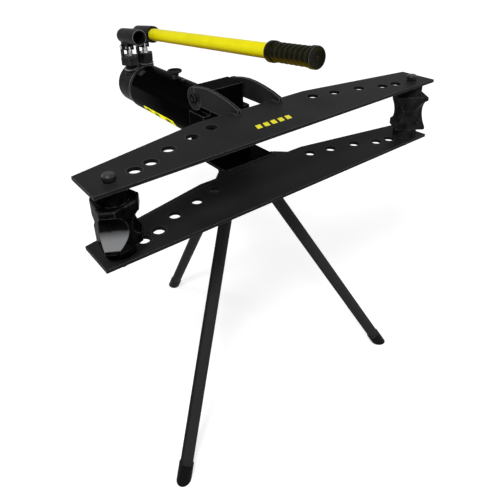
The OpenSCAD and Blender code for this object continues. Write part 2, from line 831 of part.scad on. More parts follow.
// Two straps from the pump body up to the lever pivot
module links(x) {
    placed() translate([x, fulcrum_y, 0]) both_sides() difference() {
        union() {
            translate([strap_in, -strap_half, link_z]) cube([strap_t, 2 * strap_half, fulcrum_z - link_z]);
            bar_x(strap_in, strap_out, strap_half, 0, link_z);
            bar_x(strap_in, strap_out, strap_half, 0, fulcrum_z);
        }
        bar_x(strap_in - 1, strap_out + 1, pin_small, 0, link_z);
        bar_x(strap_in - 1, strap_out + 1, pin_small, 0, fulcrum_z);
    }
}

module near_links() {
    color("#303235") links(near_x);
}

module far_links() {
    color("#303235") links(far_x);
}

module headed_pins(z) {
    placed() for (x = [near_x, far_x]) {
        bar_x(x - strap_out, x + strap_out, pin_small, fulcrum_y, z);
        for (s = [-1, 1])
            bar_x(x + s * (strap_out + 1) - 1, x + s * (strap_out + 1) + 1, pin_small + 1.6, fulcrum_y, z);
    }
}

module link_pins() {
    color("#8d9094") headed_pins(link_z);
}

module fulcrum_pins() {
    color("#8d9094") headed_pins(fulcrum_z);
}

// Socket for the handle with a forked yoke under it; local -Y runs to the mouth
module lever(x, reach) {
    placed() translate([x, fulcrum_y, fulcrum_z]) rotate([-handle_rise, 0, 0]) difference() {
        union() {
            translate([0, socket_tail, socket_up]) rotate([90, 0, 0]) rotate_extrude()
                polygon([[0, 0], [butt_r - 1.5, 0], [butt_r, 1.5], [mouth_r, reach + socket_tail - 16],
                    [mouth_r, reach + socket_tail - 1], [mouth_r - 1, reach + socket_tail],
                    [0, reach + socket_tail]]);
            translate([-yoke_half, 1 - lever_arm - 12, -7.5])
                cube([2 * yoke_half, lever_arm + 11, socket_up - 5]);
            translate([-yoke_half, -5, 0]) cube([2 * yoke_half, 11, socket_up - 10]);
            bar_x(-yoke_half, yoke_half, 8, 0, 0);
        }
        bar_y(-reach - 1, socket_tail - tube_start, handle_d / 2 + handle_play, socket_up);
        translate([-ear_gap, -60, -20]) cube([2 * ear_gap, 60 - 5.6, 20 + socket_up - mouth_r - 0.2]);
        bar_x(-20, 20, pin_small + run_gap, 0, 0);
        for (u = [slot_near, slot_far]) bar_x(-20, 20, slot_r, -u, slot_w);
        translate([-20, -slot_far, slot_w - slot_r]) cube([40, slot_far - slot_near, 2 * slot_r]);
    }
}

module near_lever() {
    color("#3d3f42") lever(near_x, near_socket);
}

module far_lever() {
    color("#303235") lever(far_x, far_socket);
}

module on_handle() {
    placed() translate([far_x, fulcrum_y, fulcrum_z]) rotate([-handle_rise, 0, 0])
        translate([0, 0, socket_up]) rotate([90, 0, 0]) children();
}

module handle_tube() {
    first = tube_start - socket_tail + 0.5;
    color("#f2e205") on_handle() translate([0, 0, first]) difference() {
        cylinder(r = handle_d / 2, h = handle_reach - 6 - first);
        translate([0, 0, -1]) cylinder(r = handle_d / 2 - handle_wall, h = handle_reach);
    }
}

module handle_grip() {
    pitch = (grip_l - 30) / ribs;
    color("#1a1b16") on_handle() translate([0, 0, handle_reach - grip_l]) difference() {
        union() {
            cylinder(r = grip_r, h = grip_l);
            translate([0, 0, 0]) cylinder(r = collar_r, h = 12);
            translate([0, 0, grip_l - 14]) cylinder(r = collar_r, h = 14);
            for (i = [0:ribs - 1])
                translate([0, 0, 15 + pitch * i]) cylinder(r = rib_r, h = pitch - 3);
        }
        translate([0, 0, -1]) cylinder(r = handle_d / 2, h = grip_l - 5);
        translate([0, 0, grip_l - 7]) cylinder(r = 2, h = 9, $fn = small_fn);
    }
}

// Local +Z runs down one leg from the point where the axes meet
module on_leg(turn, tilt) {
    translate([0, apex_y, apex_z]) rotate([0, 0, -turn]) rotate([tilt - 180, 0, 0]) children();
}

module on_each_leg() {
    on_leg(0, rear_tilt) children();
    on_leg(leg_turn, front_tilt) children();
    on_leg(-leg_turn, front_tilt) children();
}

module tripod_hub() {
    r = leg_d / 2 + 0.1;
    color("#242628") placed() difference() {
        union() {
            translate([0, apex_y, -wing_t - hub_t]) cylinder(r = hub_r, h = hub_t);
            difference() {
                on_each_leg() translate([0, 0, 30]) cylinder(r = r + socket_wall, h = socket_end - 30);
                translate([-hub_r * 2, apex_y - hub_r * 2, -wing_t - hub_t + 1])
                    cube([hub_r * 4, hub_r * 4, 60]);
            }
        }
        on_each_leg() translate([0, 0, leg_start - 0.3]) cylinder(r = r, h = socket_end);
    }
}

module leg(turn, tilt) {
    full = (apex_z + stand_h) / cos(tilt);
    placed() on_leg(turn, tilt) translate([0, 0, leg_start]) difference() {
        cylinder(r = leg_d / 2, h = full - foot_sole - leg_start);
        translate([0, 0, -1]) cylinder(r = leg_d / 2 - leg_wall, h = full);
    }
}

// Rubber cap over the leg end, cut flat on the floor
module foot(turn, tilt) {
    full = (apex_z + stand_h) / cos(tilt);
    placed() difference() {
        on_leg(turn, tilt) translate([0, 0, full - foot_l]) cylinder(r = foot_r, h = foot_l + 20);
        on_leg(turn, tilt) translate([0, 0, full - foot_l - 1])
            cylinder(r = leg_d / 2 + leg_end_fit, h = foot_l + 1 - foot_sole);
        translate([-wing_l, -wing_l, -stand_h - foot_l]) cube([2 * wing_l, 2 * wing_l, foot_l]);
    }
}

module leg_left() {
    color("#2a2b2d") leg(-leg_turn, front_tilt);
}

module leg_right() {
    color("#2a2b2d") leg(leg_turn, front_tilt);
}

module leg_rear() {
    color("#2a2b2d") leg(0, rear_tilt);
}

module foot_left() {
    color("#161616") foot(-leg_turn, front_tilt);
}

module foot_right() {
    color("#161616") foot(leg_turn, front_tilt);
}

module foot_rear() {
    color("#161616") foot(0, rear_tilt);
}

echo(mid_y = mid_y, front_tilt = front_tilt, rear_tilt = rear_tilt);

lower_wing();
base_tongue();
upper_wing();
hinge_arm_left();
hinge_arm_right();
hinge_bolts();
hinge_washers();
frame_block();
pivot_shoe_left();
pivot_shoe_right();
roller_pin_left();
roller_pin_right();
gland_nut();
ram_seal();
wiper_ring();
ram();
ram_piston();
piston_ring();
cylinder_tube();
return_spring();
spring_anchor();
oil_tank();
filler_neck();
filler_cap();
vent_plug();
head_gasket();
pump_head();
tie_rods();
check_balls();
valve_springs();
valve_plugs();
release_valve();
relief_plug();
near_pump_body();
far_pump_body();
plunger_seals();
near_plunger();
far_plunger();
near_plunger_pin();
far_plunger_pin();
near_links();
far_links();
link_pins();
fulcrum_pins();
near_lever();
far_lever();
handle_tube();
handle_grip();
tripod_hub();
leg_left();
leg_right();
leg_rear();
foot_left();
foot_right();
foot_rear();
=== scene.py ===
import json
import math
import bpy
from mathutils import Matrix, Vector

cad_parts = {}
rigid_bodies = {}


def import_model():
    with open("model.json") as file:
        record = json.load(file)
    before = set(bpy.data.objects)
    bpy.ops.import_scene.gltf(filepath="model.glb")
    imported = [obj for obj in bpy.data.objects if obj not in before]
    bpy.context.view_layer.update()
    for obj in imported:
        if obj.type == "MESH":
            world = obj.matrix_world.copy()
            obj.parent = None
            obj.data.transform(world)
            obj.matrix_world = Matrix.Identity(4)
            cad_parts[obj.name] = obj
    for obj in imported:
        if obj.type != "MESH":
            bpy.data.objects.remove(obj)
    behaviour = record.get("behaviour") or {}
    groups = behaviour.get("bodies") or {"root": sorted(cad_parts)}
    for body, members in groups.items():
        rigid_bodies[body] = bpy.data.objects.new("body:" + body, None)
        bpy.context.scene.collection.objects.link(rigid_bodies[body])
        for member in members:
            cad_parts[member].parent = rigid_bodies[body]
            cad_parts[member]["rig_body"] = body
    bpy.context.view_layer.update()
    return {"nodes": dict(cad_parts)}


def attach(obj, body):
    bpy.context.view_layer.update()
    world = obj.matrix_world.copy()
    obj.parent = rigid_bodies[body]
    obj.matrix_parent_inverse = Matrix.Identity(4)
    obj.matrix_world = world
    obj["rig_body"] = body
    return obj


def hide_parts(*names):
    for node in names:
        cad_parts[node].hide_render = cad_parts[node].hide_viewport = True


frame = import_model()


# Camera: stands in front of the left wing end, a little above the machine, and looks down on it
# as the photograph does. The picture is taken as 500 x 500, cut a little off the lens axis.
IMAGE = 500
FOCAL_PX = 515.70
SENSOR_MM = 36.0
CENTRE_PX = (228.293, 183.284)
CAMERA_PLACE = (-0.5888, -0.8998, 1.0440)
FAR_CLIP = 50
YAW, PITCH, ROLL = (math.radians(a) for a in (35.562, 28.614, -2.193))

ahead = Vector((math.sin(YAW) * math.cos(PITCH), math.cos(YAW) * math.cos(PITCH), -math.sin(PITCH)))
level_right = Vector((math.cos(YAW), -math.sin(YAW), 0))
level_up = level_right.cross(ahead)
right = math.cos(ROLL) * level_right + math.sin(ROLL) * level_up
up = math.cos(ROLL) * level_up - math.sin(ROLL) * level_right

lens = bpy.data.cameras.new("photo_camera")
lens.sensor_width = SENSOR_MM
lens.lens = FOCAL_PX / IMAGE * SENSOR_MM
lens.shift_x = 0.5 - CENTRE_PX[0] / IMAGE
lens.shift_y = CENTRE_PX[1] / IMAGE - 0.5
lens.clip_end = FAR_CLIP
camera = bpy.data.objects.new("photo_camera", lens)
camera.matrix_world = Matrix((right, up, -ahead)).transposed().to_4x4()
camera.location = CAMERA_PLACE
bpy.context.scene.collection.objects.link(camera)
bpy.context.scene.camera = camera
bpy.context.scene.view_settings.view_transform = "Standard"


# Floor and light: a plain pale studio floor, one large soft lamp above the front left, a weaker
# one on the right and one behind that draws the rims. What shows behind the object is white.
FLOOR_SIZE = 14.0
FLOOR_COLOUR = (0.80, 0.80, 0.80, 1)
NEAR_LIFT = (0.56, 0.56, 0.56, 1)
FAR_LIFT = (0.76, 0.76, 0.76, 1)
LIFT_START, LIFT_END = 0.7, 2.4
WHITE = (1, 1, 1, 1)
WORLD_LIGHT = 0.32
LAMPS = {
    # name: place, aim, side in metres, watts
    "key_lamp": ((-1.2, -1.1, 2.35), (0.0, 0.0, 0.6), 0.6, 34),
    "fill_lamp": ((1.9, -1.6, 1.5), (0.0, 0.0, 0.5), 1.6, 14),
    "rim_lamp": ((-1.6, 1.9, 1.6), (0.0, 0.1, 0.6), 0.8, 12),
}


class Wire:
    """An output socket. Sums, differences and products of wires add Math nodes to the material."""

    def __init__(self, finish, socket):
        self.finish, self.socket = finish, socket

    def math(self, operation, a, b):
        return self.finish.node("ShaderNodeMath", {"operation": operation}, {0: a, 1: b})

    def __add__(self, other):
        return self.math("ADD", self, other)

    def __mul__(self, other):
        return self.math("MULTIPLY", self, other)

    def __sub__(self, other):
        return self.math("SUBTRACT", self, other)

    def __rsub__(self, other):
        return self.math("SUBTRACT", other, self)

    def __or__(self, other):
        return self.math("MAXIMUM", self, other)

    __radd__ = __add__
    __rmul__ = __mul__

    def step(self, low, high):
        """A smooth 0 to 1 as the value goes from low to high."""
        return self.finish.node("ShaderNodeMapRange", {"interpolation_type": "SMOOTHSTEP"},
                                {"Value": self, "From Min": low, "From Max": high})

    def band(self, low, high, soft):
        """1 between low and high, with soft ends of that width."""
        return self.step(low, low + soft) * (1 - self.step(high, high + soft))

    def root(self):
        return self.finish.node("ShaderNodeMath", {"operation": "SQRT"}, {0: self})

    def __abs__(self):
        return self.finish.node("ShaderNodeMath", {"operation": "ABSOLUTE"}, {0: self})


class Finish:
    """A node tree being made. node() takes a type, its settings and its sockets, and gives an output."""

    EDGE_SAMPLES = 4
    EDGE_START, EDGE_FULL = 0.004, 0.10

    def __init__(self, name, owner=None):
        self.owner = owner or bpy.data.materials.new(name)
        self.owner.use_nodes = True
        self.tree = self.owner.node_tree
        self.on_object = None

    def node(self, kind, settings, sockets, output=0):
        made = self.tree.nodes.new(kind)
        for key, value in settings.items():
            setattr(made, key, value)
        for key, value in sockets.items():
            self.feed(made.inputs[key], value)
        return Wire(self, made.outputs[output])

    def feed(self, socket, value):
        if isinstance(value, Wire):
            self.tree.links.new(value.socket, socket)
        else:
            socket.default_value = value

    def blend(self, mask, low, high):
        """The colour low where the mask is 0 and high where it is 1."""
        return self.node("ShaderNodeMix", {"data_type": "RGBA"}, {0: mask, 6: low, 7: high}, 2)

    def coords(self):
        """The place on the piece, in its own Object coordinates."""
        if self.on_object is None:
            self.on_object = self.node("ShaderNodeTexCoord", {}, {}, "Object")
        return self.on_object

    def axes(self):
        """The X, Y and Z of the place on the piece."""
        apart = self.node("ShaderNodeSeparateXYZ", {}, {0: self.coords()})
        return [Wire(self, apart.socket.node.outputs[axis]) for axis in "XYZ"]

    def noise(self, scale, detail=3, roughness=0.5):
        """Object-space noise of so many cells a metre."""
        return self.node("ShaderNodeTexNoise", {}, {
            "Vector": self.coords(), "Scale": scale, "Detail": detail, "Roughness": roughness})

    def facing(self, direction):
        """1 where the surface looks straight along the direction and 0 where it is edge on."""
        normal = self.node("ShaderNodeNewGeometry", {}, {}, "Normal")
        return self.node("ShaderNodeVectorMath", {"operation": "DOT_PRODUCT"}, {0: direction, 1: normal}, "Value")

    def edges(self, radius):
        """1 along the edges of the piece and 0 on its faces."""
        rounded = self.node("ShaderNodeBevel", {"samples": self.EDGE_SAMPLES}, {"Radius": radius})
        return (1 - self.facing(rounded)).step(self.EDGE_START, self.EDGE_FULL)

    def bump(self, height, strength, distance):
        """A normal that follows the height, so strong and so many metres deep."""
        return self.node("ShaderNodeBump", {}, {"Strength": strength, "Distance": distance, "Height": height})

    def principled(self, sockets):
        shader = self.tree.nodes["Principled BSDF"]
        for key, value in sockets.items():
            self.feed(shader.inputs[key], value)
        return self.owner


def seen_rays(finish):
    """1 for camera, glossy and transmission rays, which see the plain white background."""
    rays = [finish.node("ShaderNodeLightPath", {}, {}, name)
            for name in ("Is Camera Ray", "Is Glossy Ray", "Is Transmission Ray")]
    return rays[0] | rays[1] | rays[2]


bpy.ops.object.select_all(action="DESELECT")
bpy.ops.mesh.primitive_plane_add(size=FLOOR_SIZE, location=(0, 0, 0))
floor = bpy.context.object
floor.name = "studio_floor"
paper = Finish("studio_paper")
lit = paper.node("ShaderNodeBsdfDiffuse", {}, {"Color": FLOOR_COLOUR})
away = paper.node("ShaderNodeVectorMath", {"operation": "LENGTH"}, {0: paper.coords()}, "Value")
lift = paper.node("ShaderNodeEmission", {}, {
    "Color": paper.blend(away.step(LIFT_START, LIFT_END), NEAR_LIFT, FAR_LIFT)})
both = paper.node("ShaderNodeAddShader", {}, {0: lit, 1: lift})
shown = paper.node("ShaderNodeMixShader", {}, {0: seen_rays(paper), 1: lit, 2: both})
paper.feed(paper.tree.nodes["Material Output"].inputs["Surface"], shown)
floor.data.materials.append(paper.owner)

world = bpy.data.worlds.new("studio_world")
bpy.context.scene.world = world
sky = Finish("", world)
soft = sky.node("ShaderNodeBackground", {}, {"Color": WHITE, "Strength": WORLD_LIGHT})
white = sky.node("ShaderNodeBackground", {}, {"Color": WHITE, "Strength": 1.0})
shown = sky.node("ShaderNodeMixShader", {}, {0: seen_rays(sky), 1: soft, 2: white})
sky.feed(sky.tree.nodes["World Output"].inputs["Surface"], shown)

for name, (place, aim, side, watts) in LAMPS.items():
    light = bpy.data.lights.new(name, "AREA")
    light.shape = "SQUARE"
    light.size = side
    light.energy = watts
    lamp = bpy.data.objects.new(name, light)
    lamp.location = place
    lamp.rotation_euler = (Vector(aim) - Vector(place)).to_track_quat("-Z", "Y").to_euler()
    bpy.context.scene.collection.objects.link(lamp)


# Wings: two flame-cut steel plates, one above the other, drilled together for the roller pins.
# They are painted satin black over broken edges, with painted shade in a dark band round each hole
# and a painted highlight in a paler ring at the band's rim.
DARK_PAINT = (0.0100, 0.0102, 0.0106, 1)
WORN_PAINT = (0.0165, 0.0168, 0.0174, 1)
EDGE_GREY = (0.085, 0.087, 0.090, 1)
HOLE_HIGHLIGHT = (0.038, 0.039, 0.040, 1)
PLATE_EDGE = 0.0009
PLATE_CLOUDS, PLATE_CHIPS, PLATE_GRAIN = 9, 60, 900
CLOUD_SPAN, PLATE_CHIP_SPAN = (0.35, 0.75), (0.20, 0.50)
PLATE_RUB = 0.0016
MID_Y = 270.077
STAND_H = 574.5
MERGE_GAP = 0.00001
FLAT_TURN, SHARP_TURN, SMOOTH_TURN = (math.radians(a) for a in (0.6, 28, 38))


def spot(x, y, z):
    """Metres in the shared frame from the source's own millimetres."""
    return Vector((x, y - MID_Y, z + STAND_H)) / 1000


def dressed(node, edge, material, steps=2):
    """The CAD node with its doubles merged, flat faces joined and edges rounded, in its real finish."""
    source = frame["nodes"][node]
    piece = bpy.data.objects.new(node + "_piece", source.data.copy())
    bpy.context.scene.collection.objects.link(piece)
    bpy.ops.object.select_all(action="DESELECT")
    bpy.context.view_layer.objects.active = piece
    piece.select_set(True)
    bpy.ops.object.mode_set(mode="EDIT")
    bpy.ops.mesh.select_all(action="SELECT")
    bpy.ops.mesh.remove_doubles(threshold=MERGE_GAP)
    bpy.ops.mesh.dissolve_limited(angle_limit=FLAT_TURN)
    piece.data.materials.clear()
    piece.data.materials.append(material)
    bpy.ops.object.mode_set(mode="OBJECT")
    rounding = piece.modifiers.new("rounding", "BEVEL")
    rounding.width = edge
    rounding.segments = steps
    rounding.limit_method = "ANGLE"
    rounding.angle_limit = SHARP_TURN
    bpy.ops.object.modifier_apply(modifier=rounding.name)
    bpy.ops.object.shade_smooth_by_angle(angle=SMOOTH_TURN)
    shading = piece.modifiers.new("shading", "WEIGHTED_NORMAL")
    shading.keep_sharp = True
    bpy.ops.object.modifier_apply(modifier=shading.name)
    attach(piece, source["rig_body"])
    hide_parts(node)
    return piece


STATIONS = ((304, 6.5), (272, 14.5), (227, 38), (171, 53.5), (123, 66))
SEAT_R, SEAT_SOFT = 0.0127, 0.0004
RING_R, RING_SOFT, RING_FADE = 0.0134, 0.0002, 0.0006
HOLE_SHADE = (0.0062, 0.0062, 0.0065, 1)

finish = Finish("satin_black_paint")
cloudy = finish.noise(PLATE_CLOUDS)
level_place = finish.node("ShaderNodeVectorMath", {"operation": "MULTIPLY"}, {0: finish.coords(), 1: (1, 1, 0)})
nearest = None
for x, y in STATIONS:
    for side in (-1, 1):
        hole = spot(side * x, y, 0)
        off = finish.node("ShaderNodeVectorMath", {"operation": "DISTANCE"},
                          {0: level_place, 1: (hole.x, hole.y, 0)}, "Value")
        nearest = off if nearest is None else off.math("MINIMUM", off, nearest)
# Painted shade: a dark band round each hole, for the shade on its wall; painted highlight: a paler ring at its rim.
seat = 1 - nearest.step(SEAT_R - SEAT_SOFT, SEAT_R)
ring = nearest.step(SEAT_R - RING_SOFT, SEAT_R + RING_SOFT) * (1 - nearest.step(RING_R, RING_R + RING_FADE))
grain = finish.noise(PLATE_GRAIN, detail=2)
worn = finish.edges(PLATE_RUB) * finish.noise(PLATE_CHIPS).step(*PLATE_CHIP_SPAN)
tone = finish.blend(cloudy.step(*CLOUD_SPAN), DARK_PAINT, WORN_PAINT)
tone = finish.blend(seat, finish.blend(worn, tone, EDGE_GREY), HOLE_SHADE)
satin_black = finish.principled({
    "Base Color": finish.blend(ring, tone, HOLE_HIGHLIGHT),
    "Roughness": 0.44 + 0.16 * cloudy + 0.05 * grain,
    "Normal": finish.bump(grain, strength=0.10, distance=0.0004),
    "Specular IOR Level": 0.03,
})
for node in ("lower_wing", "upper_wing"):
    dressed(node, PLATE_EDGE, satin_black)


# Welds: the tongue is let into the lower wing and welded along its front, and the arms are welded
# to the upper wing. Each seam is a row of overlapping drops, painted over with the plates.
DROP_R = 0.001
DROP_PITCH = 2.6
DROP_SIZE = (3.4, 3.4, 1.9)
ARM_DROP, ARM_FRONT_DROP = (2.0, 2.6, 2.0), (2.6, 1.8, 2.0)
WING_TOP = 125
TONGUE_HALF, TONGUE_FRONT = 63, 112
BLOCK_HALF, BLOCK_FRONT = 58, 187.6
SIDE_SEAMS = {
    # name: start, end and drop size on the right, which the left mirrors
    "tongue_seam": ((64, 114, 0), (64, 122, 0), DROP_SIZE),
    "arm_seam_outside": ((54.5, 81, WING_TOP), (54.5, 101, WING_TOP), ARM_DROP),
    "arm_seam_inside": ((46.5, 81, WING_TOP), (46.5, 101, WING_TOP), ARM_DROP),
    "arm_seam_front": ((47.5, 79.6, WING_TOP), (53.5, 79.6, WING_TOP), ARM_FRONT_DROP),
    "block_seam": ((59.3, 190, 0), (59.3, 240, 0), DROP_SIZE),
}


def weld(name, start, end, size=DROP_SIZE):
    """A seam of drops from start to end, in the source's millimetres."""
    start, end = spot(*start), spot(*end)
    drops = max(2, round((end - start).length / (DROP_PITCH / 1000)))
    bpy.ops.object.select_all(action="DESELECT")
    bpy.ops.mesh.primitive_ico_sphere_add(subdivisions=2, radius=DROP_R, location=start, scale=size)
    seam = bpy.context.object
    seam.name = name
    bpy.ops.object.transform_apply(location=True, rotation=True, scale=True)
    bpy.ops.object.mode_set(mode="EDIT")
    bpy.ops.mesh.select_all(action="SELECT")
    for _ in range(drops - 1):
        bpy.ops.mesh.duplicate_move(TRANSFORM_OT_translate={"value": (end - start) / (drops - 1)})
    bpy.ops.object.mode_set(mode="OBJECT")
    bpy.ops.object.shade_smooth()
    seam.data.materials.append(satin_black)
    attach(seam, "frame")


weld("tongue_seam_front", (-TONGUE_HALF, TONGUE_FRONT, 0), (TONGUE_HALF, TONGUE_FRONT, 0))
for side, word in ((-1, "left"), (1, "right")):
    for seam, (start, end, size) in SIDE_SEAMS.items():
        weld(f"{seam}_{word}", (side * start[0], *start[1:]), (side * end[0], *end[1:]), size)
weld("block_seam_front", (-BLOCK_HALF, BLOCK_FRONT, 0), (BLOCK_HALF, BLOCK_FRONT, 0))


# Hinge arms: flame-cut steel plates, painted black, that swing the upper wing up about two
# socket-head bolts in the sides of the frame block, with a turned washer behind each arm.
ARM_EDGE, WASHER_EDGE = 0.0011, 0.0005
ARM_PAINT = (0.0135, 0.0137, 0.0142, 1)
ARM_LIGHT = (0.0205, 0.0208, 0.0214, 1)
ARM_BARE = (0.105, 0.107, 0.111, 1)
PAINT_DEPTH = 0.0004
TIGHT_CLOUDS = (0.35, 0.7)
BOLT_STEEL = (0.011, 0.0113, 0.0122, 1)
PIN_STEEL = (0.0290, 0.0295, 0.0310, 1)
BRIGHT_STEEL = (0.50, 0.50, 0.52, 1)
TURNED_EDGE = 0.0009
TURNED_MARKS, TURNED_CLOUDS = 1500, 70


def worn_paint(name, tones, clouds, cloud_span, edge, chips, chip_span, skin, skin_detail, relief, rough, gain, level):
    """Paint cloudy between the first two tones and worn to the third on edges, over a fine skin."""
    made = Finish(name)
    cloudy = made.noise(clouds)
    dark, light, bare = tones
    worn = made.edges(edge) * made.noise(chips).step(*chip_span)
    return made.principled({
        "Base Color": made.blend(worn, made.blend(cloudy.step(*cloud_span), dark, light), bare),
        "Roughness": rough + gain * cloudy,
        "Normal": made.bump(made.noise(skin, skin_detail), relief, PAINT_DEPTH),
        "Specular IOR Level": level,
    })


def steel(name, colour, rough, scuff):
    """Blackened, oiled or bright steel with fine turning marks and lighter edges."""
    made = Finish(name)
    marks = made.noise(TURNED_MARKS, detail=2)
    wear_and_highlight = made.edges(TURNED_EDGE) * scuff
    return made.principled({
        "Base Color": made.blend(wear_and_highlight, colour, BRIGHT_STEEL),
        "Metallic": 1.0,
        "Roughness": rough + 0.14 * made.noise(TURNED_CLOUDS) + 0.06 * marks,
        "Normal": made.bump(marks, strength=0.08, distance=0.0002),
    })


dark_steel = steel("blackened_steel", BOLT_STEEL, rough=0.34, scuff=0.30)
pin_steel = steel("oiled_steel", PIN_STEEL, rough=0.36, scuff=0.25)
plain_steel = steel("turned_steel", BRIGHT_STEEL, rough=0.24, scuff=0.0)
arm_black = worn_paint("arm_paint", (ARM_PAINT, ARM_LIGHT, ARM_BARE), clouds=24, cloud_span=CLOUD_SPAN,
                       edge=0.0032, chips=60, chip_span=(0.05, 0.35), skin=PLATE_GRAIN, skin_detail=2,
                       relief=0.10, rough=0.42, gain=0.16, level=0.02)
for word in ("left", "right"):
    dressed("hinge_arm_" + word, ARM_EDGE, arm_black)
dressed("hinge_washers", WASHER_EDGE, plain_steel)


# Wing mark: a plain row of slanted bars in the middle of the upper wing, brushed on in a thin
# film of yellow paint.
YELLOW = (0.86, 0.78, 0.002, 1)
YELLOW_DULL = (0.70, 0.62, 0.006, 1)
MARK_START = (-66, 7)
MARK_BARS, MARK_PATCHES = 5, 240
BAR_WIDTH, BAR_DEPTH, BAR_SLANT, BAR_PITCH = 11, 15, 5, 17
BAR_FILM = 0.00015
BAR_REACH = 0.001

finish = Finish("yellow_mark_paint")
patchy = finish.noise(MARK_PATCHES)
yellow_mark = finish.principled({
    "Base Color": finish.blend(patchy.step(*TIGHT_CLOUDS), YELLOW, YELLOW_DULL),
    "Roughness": 0.42 + 0.15 * patchy,
    "Specular IOR Level": 0.3,
})
bpy.ops.object.select_all(action="DESELECT")
bar_place = spot(MARK_START[0] + BAR_WIDTH / 2, MARK_START[1] + BAR_DEPTH / 2, WING_TOP)
bpy.ops.mesh.primitive_plane_add(size=1, location=bar_place)
mark = bpy.context.object
mark.name = "wing_mark"
mark.scale = (BAR_WIDTH / 1000, BAR_DEPTH / 1000, 1)
bpy.ops.object.transform_apply(location=True, rotation=True, scale=True)
bpy.ops.object.mode_set(mode="EDIT")
bpy.ops.mesh.select_all(action="DESELECT")
bpy.ops.object.mode_set(mode="OBJECT")
far_side = max(v.co.y for v in mark.data.vertices) - BAR_REACH
for vertex in mark.data.vertices:
    vertex.select = vertex.co.y > far_side
bpy.ops.object.mode_set(mode="EDIT")
bpy.ops.transform.translate(value=(BAR_SLANT / 1000, 0, 0))
bpy.ops.mesh.select_all(action="SELECT")
bpy.ops.mesh.extrude_region_move(TRANSFORM_OT_translate={"value": (0, 0, BAR_FILM)})
bpy.ops.mesh.select_all(action="SELECT")
for _ in range(MARK_BARS - 1):
    bpy.ops.mesh.duplicate_move(TRANSFORM_OT_translate={"value": (BAR_PITCH / 1000, 0, 0)})
bpy.ops.mesh.select_all(action="SELECT")
bpy.ops.mesh.normals_make_consistent(inside=False)
bpy.ops.object.mode_set(mode="OBJECT")
mark.data.materials.append(yellow_mark)
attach(mark, "frame")


# Frame block: a machined steel block, stepped at the top, that holds the ram and the cylinder.
# It is painted gloss black with its tongue and hinge bolts; the gland nut is bare turned steel.
GLOSS_BLACK = (0.0012, 0.0012, 0.0013, 1)
GLOSS_WORN = (0.0024, 0.0024, 0.0026, 1)
BLOCK_EDGE, GLAND_EDGE = 0.0012, 0.0008

gloss_black = worn_paint("gloss_black_paint", (GLOSS_BLACK, GLOSS_WORN, EDGE_GREY), clouds=14, cloud_span=CLOUD_SPAN,
                         edge=0.0026, chips=75, chip_span=(0.10, 0.40), skin=420, skin_detail=1,
                         relief=0.06, rough=0.16, gain=0.12, level=0.001)
for node, edge in (("frame_block", BLOCK_EDGE), ("base_tongue", PLATE_EDGE), ("hinge_bolts", BLOCK_EDGE)):
    dressed(node, edge, gloss_black)
dressed("gland_nut", GLAND_EDGE, plain_steel)


# Ram: a ground and chromed steel tube with the seat for the former at its front. The plungers of
# the two pumps are ground and chromed the same way, so they share its finish.
CHROME = (0.80, 0.81, 0.82, 1)
CHROME_DULL = (0.62, 0.63, 0.65, 1)
CHROME_FILM, FILM_SPAN, CHROME_SCRATCHES = 38, (0.4, 0.8), 2400
RAM_EDGE = 0.0008

finish = Finish("ground_chrome")
film = finish.noise(CHROME_FILM)
scratches = finish.noise(CHROME_SCRATCHES, detail=1)
chrome = finish.principled({
    "Base Color": finish.blend(film.step(*FILM_SPAN), CHROME, CHROME_DULL),
    "Metallic": 1.0,
    "Roughness": 0.07 + 0.10 * film + 0.04 * scratches,
    "Normal": finish.bump(scratches, strength=0.04, distance=0.0001),
})
dressed("ram", RAM_EDGE, chrome)


# Pivot shoes: cast iron blocks with a pipe groove on each of four sides and a round collar at
# both ends, painted gloss black over the cast skin. The lower half of the left one's front groove
# has a painted highlight, and the right one is painted lighter all over as a painted sheen.
SHOE_BLACK = (0.0014, 0.0014, 0.0015, 1)
SHOE_LIGHT = (0.0058, 0.0059, 0.0062, 1)
SHOE_SHEEN = (0.0210, 0.0212, 0.0218, 1)
SHOE_RIM = (0.070, 0.072, 0.075, 1)
GROOVE_HIGHLIGHT = (0.210, 0.212, 0.216, 1)
GROOVE_HIGHLIGHT_FADED = (0.060, 0.061, 0.063, 1)
SHOE_EDGE, SHOE_RUB, CAST_STEPS = 0.0016, 0.0024, 3
CAST_SKIN, CAST_LUMPS, SHOE_CHIPS = 260, 55, 90
SHOE_CHIP_SPAN, SHOE_SHEEN_SPAN = (0.30, 0.62), (0.25, 0.75)
PIN_X, SHOE_MID = 348, 57
SHOE_REACH = (0.12, 0.13)
RIGHT_PIN = spot(PIN_X, 0, 0)
GROOVE_TURN = math.radians(240)
GROOVE_R, GROOVE_OUT = 0.033, 0.057
GROOVE_SOFT = (0.0005, 0.0013)
HIGHLIGHT_WAVE, HIGHLIGHT_TOP, HIGHLIGHT_FADE_SPAN = 0.012, (0.002, 0.007), (-0.018, -0.001)
GROOVE_FACES = Vector((math.cos(GROOVE_TURN), math.sin(GROOVE_TURN), 0))
GROOVE_AXIS = spot(-PIN_X, 0, SHOE_MID) + GROOVE_OUT * GROOVE_FACES

finish = Finish("painted_cast_iron")
cast = finish.noise(CAST_SKIN, detail=4, roughness=0.6)
lumps = finish.noise(CAST_LUMPS)
worn = finish.edges(SHOE_RUB) * finish.noise(SHOE_CHIPS).step(*SHOE_CHIP_SPAN)
across, along, high = finish.axes()
off_x, off_y = across - RIGHT_PIN.x, along - RIGHT_PIN.y
